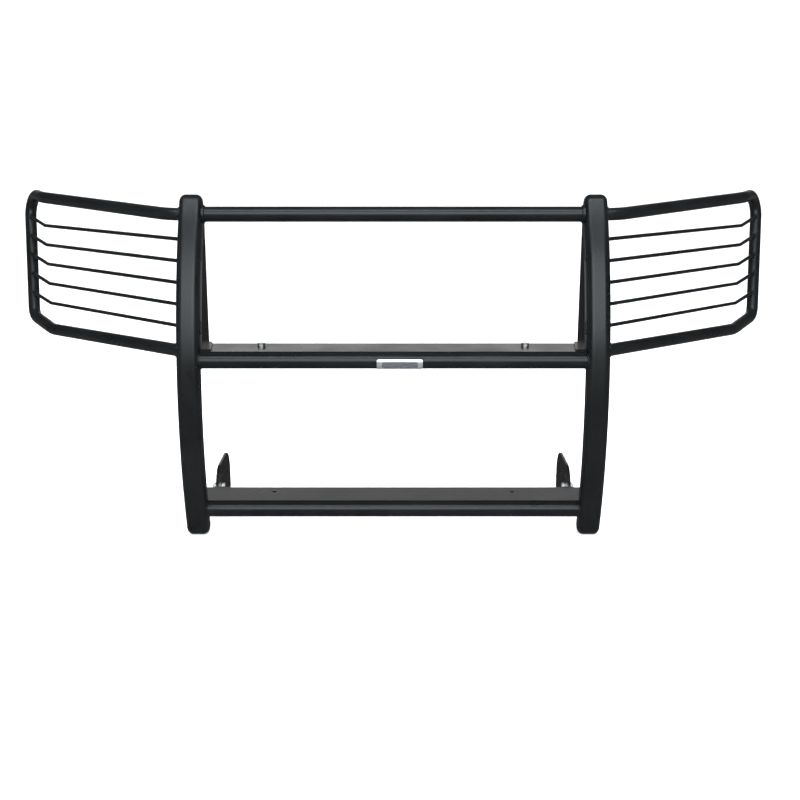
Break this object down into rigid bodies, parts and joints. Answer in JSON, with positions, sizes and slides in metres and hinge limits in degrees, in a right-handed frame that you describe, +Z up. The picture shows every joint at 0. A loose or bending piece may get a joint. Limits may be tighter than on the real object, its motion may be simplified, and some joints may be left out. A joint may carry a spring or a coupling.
{
  "type": "grille guard",
  "caption": "Front grille guard for a truck: bowed square uprights, round cross tubes with lip plates, swept headlight wings with rods, frame brackets and swivelling brace straps.",
  "frame": {"origin": "centre of the underside of the guard's bounding box, on the ground plane", "axes": "+X to the right seen from the front, +Y towards the truck, +Z up"},
  "size_m": [2.1236, 0.612, 0.8634],
  "materials": {
    "powder_coat": "satin black powder coat",
    "zinc_plate": "bright zinc plate",
    "badge_metal": "satin"
  },
  "bodies": {
    "root": {"badge_plate": "badge_metal", "brace_bolts": "zinc_plate", "brace_nuts": "zinc_plate", "brace_washers": "zinc_plate", "ear_bolts": "zinc_plate", "ear_nuts": "zinc_plate", "ear_washers": "zinc_plate", "frame_bracket_left": "powder_coat", "frame_bracket_right": "powder_coat", "gusset_left": "powder_coat", "gusset_right": "powder_coat", "low_cross_tube": "powder_coat", "low_lip_plate": "powder_coat", "mid_cross_tube": "powder_coat", "mid_lip_plate": "powder_coat", "mounting_ear_left": "powder_coat", "mounting_ear_right": "powder_coat", "top_cross_tube": "powder_coat", "upright_bottom_cap_left": "powder_coat", "upright_bottom_cap_right": "powder_coat", "upright_left": "powder_coat", "upright_right": "powder_coat", "upright_top_cap_left": "powder_coat", "upright_top_cap_right": "powder_coat", "wing_frame_left": "powder_coat", "wing_frame_right": "powder_coat", "wing_rod_1_left": "powder_coat", "wing_rod_1_right": "powder_coat", "wing_rod_2_left": "powder_coat", "wing_rod_2_right": "powder_coat", "wing_rod_3_left": "powder_coat", "wing_rod_3_right": "powder_coat", "wing_rod_4_left": "powder_coat", "wing_rod_4_right": "powder_coat", "wing_rod_5_left": "powder_coat", "wing_rod_5_right": "powder_coat"},
    "brace_strap_left": {"brace_strap_left": "powder_coat"},
    "brace_strap_right": {"brace_strap_right": "powder_coat"}
  },
  "joints": [
    {"name": "brace_strap_left_swivel", "type": "hinge", "parent": "root", "child": "brace_strap_left", "pos_m": [-0.332, -0.20272, 0.48275], "axis": [0, 0, 1], "range_deg": [-25, 25]},
    {"name": "brace_strap_right_swivel", "type": "hinge", "parent": "root", "child": "brace_strap_right", "pos_m": [0.332, -0.20272, 0.48275], "axis": [0, 0, 1], "range_deg": [-25, 25]}
  ]
}
